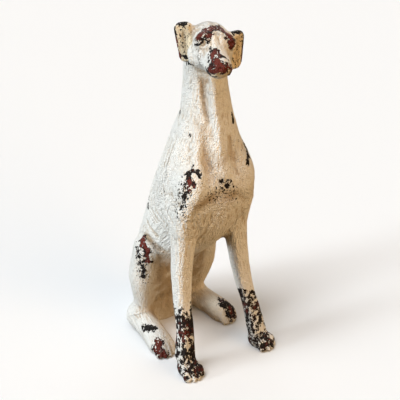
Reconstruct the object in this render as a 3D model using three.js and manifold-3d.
// A sitting hound, cast in one piece and standing on its own feet and seat.
// Millimetres, +Z up. The hound looks along -Y, so its left side is +X. Its soles lie at Z = 0.
//
// The sculptor's masses (trunk, limbs, head) are signed distance fields, negative inside. They melt into
// each other with smooth unions, a marching-cubes lattice skins the result, and a box cuts the soles flat.

import * as THREE from 'three';
import { MarchingCubes } from 'three/addons/objects/MarchingCubes.js';
import { SimplifyModifier } from 'three/addons/modifiers/SimplifyModifier.js';
import { mergeVertices } from 'three/addons/utils/BufferGeometryUtils.js';
import Module from 'manifold-3d';

const wasm = await Module();
wasm.setup();

const SIDES = [ - 1, 1 ]; // the hound's right, then its left

// Trunk and neck, from the seat up: height, back line, front line, half width, sway to the left
const TRUNK = [
	[ - 30, 122, 50, 48, 0 ],
	[ 20, 128, 50, 50, 0 ],
	[ 70, 128, 38, 51, 0 ],
	[ 120, 122, 16, 54, 0 ],
	[ 170, 110, - 24, 61, 0 ],
	[ 220, 92, - 78, 65, 1 ],
	[ 260, 75, - 106, 69, 3 ],
	[ 310, 52, - 121, 74, 6 ],
	[ 350, 32, - 121, 73, 8 ],
	[ 400, 14, - 110, 59, 9 ],
	[ 425, 4, - 104, 51, 9 ],
	[ 450, - 7, - 98, 43, 9 ],
	[ 500, - 14, - 93, 34, 6 ],
	[ 530, - 19, - 92, 33, 4 ],
	[ 580, - 50, - 90, 28, - 2 ],
];
const NECK_TOP = 582;
const SEAT_BOTTOM = - 20; // below the soles, so that the cut leaves it flat

const HEAD = { centre: [ - 8, - 84, 566 ], pitch: 9, roll: 8, yaw: - 23.5 };

// Drop ears, set out from the middle of the skull; each hangs nearly plumb although the head is tilted
const EARS = [
	{ out: 36, back: 9, drop: 2, width: 14.5, height: 31, sweep: 22, hang: - 20 },
	{ out: 43, back: 9, drop: 9, width: 15, height: 32, sweep: 22, hang: - 9 },
];

// Foreleg centre line from the arm to the pastern: right side, then left
const FORELEGS = [
	[
		[ - 52, - 76, 300 ], [ - 58, - 78, 247 ], [ - 62, - 78, 190 ],
		[ - 66, - 84, 134 ], [ - 70, - 97, 82 ], [ - 73, - 100, 34 ],
	],
	[
		[ 48, - 76, 300 ], [ 52, - 79, 247 ], [ 59, - 81, 190 ],
		[ 67, - 89, 128 ], [ 76, - 103, 76 ], [ 82, - 111, 34 ],
	],
];
const FORELEG_RADII = [ 26, 18.6, 16, 14, 13.4, 15.5 ];
const FORELEG_SQUARENESS = 3.5;
const FORE_PAW_TURN = [ - 4, 8 ];

// Hind leg joints, and the way each foot points
const HIND_LEGS = [
	{
		hip: [ - 26, 72, 96 ], knee: [ - 64, 24, 192 ], shin: [ - 67, 38, 118 ],
		ankle: [ - 58, 52, 64 ], hock: [ - 61, 63, 26 ], paw: [ - 74, - 22, 20 ], turn: - 4,
	},
	{
		hip: [ 30, 74, 96 ], knee: [ 74, 30, 196 ], shin: [ 74, 40, 118 ],
		ankle: [ 66, 54, 64 ], hock: [ 68, 70, 26 ], paw: [ 80, - 8, 20 ], turn: 12,
	},
];

const PAW = { width: 18.5, length: 27, height: 20, toes: 4, toeRadius: 7 };

// Fields

const APART = 30; // further off than any smooth union reaches
const probe = new THREE.Vector3();

function spread( p, q, t ) {

	return p + ( q - p ) * t;

}

// A field in a frame that is turned (pitch about X, roll about Y, yaw about Z) and moved.
// Beyond its reach the distance to a ball around it stands in for the field.
function placed( field, centre, [ pitch, roll, yaw ], reach ) {

	const euler = new THREE.Euler( ...[ pitch, roll, yaw ].map( THREE.MathUtils.degToRad ), 'ZXY' );
	const e = new THREE.Matrix4().makeRotationFromEuler( euler ).transpose().elements;
	const [ cx, cy, cz ] = centre;
	return ( px, py, pz ) => {

		const x = px - cx, y = py - cy, z = pz - cz;
		const away = Math.sqrt( x * x + y * y + z * z ) - reach;
		return away > APART ? away : field(
			e[ 0 ] * x + e[ 4 ] * y + e[ 8 ] * z,
			e[ 1 ] * x + e[ 5 ] * y + e[ 9 ] * z,
			e[ 2 ] * x + e[ 6 ] * y + e[ 10 ] * z,
		);

	};

}

function ellipsoid( centre, [ a, b, c ], turn = [ 0, 0, 0 ] ) {

	return placed( ( x, y, z ) => {

		const u = x / a, v = y / b, w = z / c;
		const near = Math.sqrt( u * u + v * v + w * w );
		const slope = Math.sqrt( u * u / a / a + v * v / b / b + w * w / c / c );
		return slope > 1e-9 ? near * ( near - 1 ) / slope : - Math.min( a, b, c );

	}, centre, turn, Math.max( a, b, c ) );

}

// A flat plate with rounded corners, lying across Y
function plate( centre, [ width, thickness, height ], corner, edge, turn ) {

	const beyond = ( u, v ) =>
		Math.hypot( Math.max( u, 0 ), Math.max( v, 0 ) ) + Math.min( Math.max( u, v ), 0 );
	return placed( ( x, y, z ) => {

		const outline = beyond( Math.abs( x ) - width + corner, Math.abs( z ) - height + corner ) - corner;
		return beyond( outline + edge, Math.abs( y ) - thickness + edge ) - edge;

	}, centre, turn, Math.hypot( width, height ) );

}

// A round swept along a curve
function limb( points, radii, steps = 12 ) {

	const line = points.map( p => new THREE.Vector3( ...p ) );
	const stations = new THREE.CatmullRomCurve3( line, false, 'centripetal' ).getPoints( steps );
	const girth = t => {

		const s = t * ( radii.length - 1 );
		const i = Math.min( Math.floor( s ), radii.length - 2 );
		return spread( radii[ i ], radii[ i + 1 ], s - i );

	};

	const box = new THREE.Box3().setFromPoints( stations ).expandByScalar( Math.max( ...radii ) );
	return ( x, y, z ) => {

		const away = box.distanceToPoint( probe.set( x, y, z ) );
		if ( away > APART ) return away;
		let nearest = Infinity;
		for ( let i = 0; i < steps; i ++ ) {

			const p = stations[ i ], q = stations[ i + 1 ];
			const dx = q.x - p.x, dy = q.y - p.y, dz = q.z - p.z;
			const along = ( x - p.x ) * dx + ( y - p.y ) * dy + ( z - p.z ) * dz;
			const t = THREE.MathUtils.clamp( along / ( dx * dx + dy * dy + dz * dz ), 0, 1 );
			const gx = x - p.x - t * dx, gy = y - p.y - t * dy, gz = z - p.z - t * dz;
			const gap = Math.sqrt( gx * gx + gy * gy + gz * gz );
			nearest = Math.min( nearest, gap - girth( ( i + t ) / steps ) );

		}

		return nearest;

	};

}

// An upright limb with flattened faces, its points given from the top down; a squareness of 2 would be round
function post( points, radii, squareness ) {

	const rows = points.map( ( [ x, y, z ], i ) => [ z, x, y, radii[ i ] ] ).reverse();
	const heights = rows.map( r => r[ 0 ] );
	const sections = new THREE.CubicInterpolant( heights, rows.flatMap( r => r.slice( 1 ) ), 3 );
	return ( x, y, z ) => {

		const level = THREE.MathUtils.clamp( z, heights[ 0 ], heights.at( - 1 ) );
		const [ midX, midY, radius ] = sections.evaluate( level );
		const side = Math.abs( x - midX ) ** squareness + Math.abs( y - midY ) ** squareness;
		return Math.hypot( side ** ( 1 / squareness ), z - level ) - radius;

	};

}

function smoothMin( a, b, k ) {

	const h = Math.max( k - Math.abs( a - b ), 0 ) / k;
	return Math.min( a, b ) - h * h * k / 4;

}

function blend( k, ...fields ) {

	return ( x, y, z ) => fields.reduce( ( d, field ) => smoothMin( d, field( x, y, z ), k ), Infinity );

}

function carve( k, body, ...cutters ) {

	return ( x, y, z ) =>
		cutters.reduce( ( d, cutter ) => - smoothMin( - d, cutter( x, y, z ), k ), body( x, y, z ) );

}

// Masses

function trunk() {

	const heights = TRUNK.map( s => s[ 0 ] );
	const sections = new THREE.CubicInterpolant( heights, TRUNK.flatMap( s => s.slice( 1 ) ), 4 );
	const top = TRUNK.at( - 1 )[ 0 ];
	return ( x, y, z ) => {

		const [ back, front, width, sway ] = sections.evaluate( Math.min( z, top ) );
		const depth = ( back - front ) / 2;
		const v = ( y - ( back + front ) / 2 ) / depth;
		const u = ( x - sway ) / width;
		const near = Math.hypot( u, v );
		const slope = Math.hypot( u / width, v / depth );
		const skin = slope > 1e-9 ? near * ( near - 1 ) / slope : - Math.min( width, depth );
		return Math.max( SEAT_BOTTOM - z, - smoothMin( - skin, NECK_TOP - z, 25 ) );

	};

}

// Shoulders with a sharp front edge, points of the breast, throat column, and the hollows between them
function chest() {

	const shoulders = SIDES.map( s => ellipsoid( [ s * 50 + 6, - 62, 330 ], [ 26, 46, 66 ], [ - 10, 0, 0 ] ) );
	const body = blend( 24, trunk(), ...shoulders );
	const breast = SIDES.map( s => ellipsoid( [ s * 46 - 2, - 92, 342 ], [ 26, 24, 38 ] ) );
	const edges = SIDES.map( s => limb( [
		[ s * 27, - 79, 430 ], [ s * 33, - 86, 399 ], [ s * 41, - 99, 375 ], [ s * 49 - 2, - 108, 348 ],
		[ s * 56 - 3, - 105, 326 ], [ s * 62 - 4, - 94, 303 ], [ s * 62 - 4, - 83, 272 ],
	], [ 4, 9, 10, 10, 10, 10, 8 ] ) );
	const throat = limb(
		[ [ - 4, - 82, 530 ], [ - 6, - 87, 465 ], [ - 6, - 94, 430 ], [ - 3, - 108, 362 ] ],
		[ 8, 10, 11, 10 ],
	);
	const groove = limb(
		[ [ - 19, - 86, 508 ], [ - 19, - 88, 481 ], [ - 18, - 94, 453 ], [ - 17, - 101, 425 ] ],
		[ 5, 7, 7, 4 ],
	);
	const pits = SIDES.map( s => limb( [
		[ s * 22 - 4, - 102 - 4 * s, 418 ], [ s * 25 - 4, - 107 - 4 * s, 392 ], [ s * 26 - 4, - 118 - 3 * s, 362 ],
	], [ 3, 8, 5 ] ) );
	const underline = limb(
		[ [ - 44, - 116, 314 ], [ - 10, - 125, 322 ], [ 24, - 124, 314 ], [ 46, - 115, 300 ] ],
		[ 2, 3, 3, 2 ],
	);
	const front = blend( 7, blend( 14, body, ...breast, throat ), ...edges );
	return carve( 10, front, groove, ...pits, underline );

}

function head() {

	const masses = [
		ellipsoid( [ 0, 6, 2 ], [ 32, 38, 30 ] ),
		ellipsoid( [ 0, - 17, 9 ], [ 31, 18, 18 ] ),
		...SIDES.map( s => ellipsoid( [ s * 16, - 12, - 12 ], [ 16, 24, 20 ] ) ),
		limb( [ [ 0, - 24, 3 ], [ 0, - 68, - 4 ] ], [ 15, 12 ] ),
		...SIDES.map( s => ellipsoid( [ s * 8.5, - 53, - 11 ], [ 10.5, 25, 14 ] ) ),
		limb( [ [ 0, - 16, - 19 ], [ 0, - 55, - 20 ] ], [ 15, 9 ] ),
	];
	const skull = blend( 9, ...masses );
	const sockets = SIDES.map( s => ellipsoid( [ s * 27, - 31, 12.5 ], [ 9, 8, 6.5 ] ) );
	const mouths = SIDES.map( s => limb(
		[ [ s * 23, - 38, - 18 ], [ s * 19, - 60, - 22 ], [ s * 5, - 77, - 18 ] ],
		[ 1.5, 3, 3 ],
	) );
	const eyes = SIDES.map( s => ellipsoid( [ s * 24, - 24, 13 ], [ 7.5, 7.5, 6.5 ] ) );
	const brows = SIDES.map( s => ellipsoid( [ s * 20, - 20, 21 ], [ 11, 8, 5 ], [ 0, s * 20, 0 ] ) );
	const nose = ellipsoid( [ 0, - 75, - 3 ], [ 10, 7, 7.5 ] );
	return blend( 4, carve( 4, skull, ...sockets, ...mouths ), ...eyes, ...brows, nose );

}

function ear( i ) {

	const side = SIDES[ i ];
	const { out, back, drop, width, height, sweep, hang } = EARS[ i ];
	const centre = [ side * out, back, - drop ], turn = [ 0, hang, side * sweep ];
	const flap = plate( centre, [ width, 5, height ], 11, 4, turn );
	const dish = ellipsoid( [ side * out, back - 8, - drop ], [ width - 4, 6.5, height - 4 ], turn );
	const root = ellipsoid( [ side * ( out - 12 ), back, 16 - drop ], [ 12, 8, 11 ], turn );
	return blend( 6, carve( 2.5, flap, dish ), root );

}

function paw( [ x, y ], turn ) {

	const { width, length, height, toes, toeRadius } = PAW;
	const knuckles = ellipsoid( [ 0, - 3, height * 0.5 ], [ width * 0.95, length * 0.85, height * 0.85 ] );
	const digits = Array.from( { length: toes }, ( _, n ) => {

		const share = ( n - ( toes - 1 ) / 2 ) / ( toes / 2 ); // -0.75 to 0.75 across the paw
		const reach = length * ( 1.05 - 0.35 * share * share );
		return limb( [
			[ share * width * 0.8, - length * 0.25, height * 0.8 ],
			[ share * width, - reach * 0.75, height * 0.72 ],
			[ share * width * 1.02, - reach, height * 0.3 ],
		], [ toeRadius, toeRadius * 1.05, toeRadius * 0.9 ], 6 );

	} );
	return placed( blend( 4, knuckles, ...digits ), [ x, y, 0 ], [ 0, 0, turn ], length * 1.8 );

}

function foreleg( i ) {

	const line = FORELEGS[ i ];
	const [ x, y ] = line.at( - 1 );
	const leg = post( line, FORELEG_RADII, FORELEG_SQUARENESS );
	return blend( 12, leg, paw( [ x, y - 6 ], FORE_PAW_TURN[ i ] ) );

}

function hindLeg( i ) {

	const { hip, knee, shin, ankle, hock, paw: toe, turn } = HIND_LEGS[ i ];
	const thigh = limb( [ hip, knee ], [ 42, 22 ] );
	const haunch = ellipsoid( [ hip[ 0 ] * 1.5, 56, 128 ], [ 22, 42, 62 ], [ 24, 0, 0 ] );
	const shank = limb( [ knee, shin, ankle, hock ], [ 21, 23, 18, 20 ] );
	const foot = limb( [ hock, toe ], [ 23, 21 ] );
	const cap = ellipsoid( [ knee[ 0 ], knee[ 1 ] - 14, knee[ 2 ] + 4 ], [ 13, 11, 15 ] );
	return blend( 14, thigh, haunch, shank, foot, cap, paw( toe, turn ) );

}

function tail() {

	return limb(
		[ [ 0, 112, 70 ], [ 6, 140, 26 ], [ 40, 152, 10 ], [ 78, 132, 8 ], [ 96, 100, 7 ] ],
		[ 20, 15, 12, 10, 6 ],
		16,
	);

}

function hound() {

	const limbs = blend( 16, chest(), foreleg( 0 ), foreleg( 1 ), hindLeg( 0 ), hindLeg( 1 ), tail() );
	const turn = [ HEAD.pitch, HEAD.roll, HEAD.yaw ];
	const ears = EARS.map( ( _, i ) => placed( ear( i ), HEAD.centre, turn, 90 ) );
	return blend( 5, blend( 14, limbs, placed( head(), HEAD.centre, turn, 95 ) ), ...ears );

}

// Skin

const LATTICE = { cells: 180, low: [ - 130, - 190, - 26 ], high: [ 130, 180, 630 ] };
const BLOCK = 5; // cells in a block that is filled at one go where it is clear of the skin
const LEAST_DEPTH = 0.05; // millimetres, so that no sliver forms at a lattice point
const TRIANGLES = 9600;

function skinOf( field ) {

	const { cells, low, high } = LATTICE;
	const step = low.map( ( v, a ) => ( high[ a ] - v ) / cells );
	const at = ( ...cell ) => field( ...cell.map( ( n, a ) => low[ a ] + n * step[ a ] ) );
	const lattice = new MarchingCubes( cells, new THREE.MeshBasicMaterial(), false, false, 300000 );
	lattice.isolation = 0;

	const clear = 0.8 * BLOCK * Math.hypot( ...step );
	const steps = Array.from( { length: BLOCK ** 3 }, ( _, n ) =>
		[ 1, BLOCK, BLOCK ** 2 ].map( size => Math.floor( n / size ) % BLOCK ) );
	for ( let k = 0; k < cells; k += BLOCK )
		for ( let j = 0; j < cells; j += BLOCK )
			for ( let i = 0; i < cells; i += BLOCK ) {

				const middle = at( i + BLOCK / 2, j + BLOCK / 2, k + BLOCK / 2 );
				for ( const [ u, v, w ] of steps ) {

					const depth = Math.abs( middle ) > clear ? - middle : - at( i + u, j + v, k + w );
					const kept = Math.sign( depth ) * Math.max( Math.abs( depth ), LEAST_DEPTH );
					lattice.setCell( i + u, j + v, k + w, kept );

				}

			}

	lattice.update();

	const count = lattice.geometry.drawRange.count;
	const found = lattice.geometry.getAttribute( 'position' ).array.slice( 0, count * 3 );
	const skin = mergeVertices(
		new THREE.BufferGeometry().setAttribute( 'position', new THREE.BufferAttribute( found, 3 ) ),
	);
	const half = step.map( s => s * cells / 2 );
	return skin.scale( ...half ).translate( ...low.map( ( v, a ) => v + half[ a ] ) );

}

function solidOf( geometry ) {

	return new wasm.Manifold( new wasm.Mesh( {
		numProp: 3,
		vertProperties: geometry.getAttribute( 'position' ).array,
		triVerts: new Uint32Array( geometry.index.array ),
	} ) );

}

// Level the soles at Z = 0 and bring the middle of the box over the origin
function cutFlat( skin ) {

	const slab = new THREE.BoxGeometry( 800, 800, 200 ).translate( 0, 0, - 100 );
	slab.deleteAttribute( 'normal' ).deleteAttribute( 'uv' );
	const cut = solidOf( skin ).subtract( solidOf( mergeVertices( slab ) ) ).getMesh();
	const flat = new THREE.BufferGeometry()
		.setAttribute( 'position', new THREE.BufferAttribute( cut.vertProperties, 3 ) )
		.setIndex( new THREE.BufferAttribute( cut.triVerts, 1 ) );
	flat.computeBoundingBox();
	const middle = flat.boundingBox.getCenter( new THREE.Vector3() );
	return flat.translate( - middle.x, - middle.y, 0 );

}

const fine = skinOf( hound() );
const spare = fine.getAttribute( 'position' ).count - TRIANGLES / 2;
const skin = await new SimplifyModifier().modify( fine, spare );

const sculpture = new THREE.Group();
const casting = new THREE.Mesh(
	cutFlat( skin ),
	new THREE.MeshStandardMaterial( { color: 0xe6dfd0, roughness: 0.75, metalness: 0 } ),
);
casting.name = 'sitting_hound';
sculpture.add( casting );

export default sculpture;
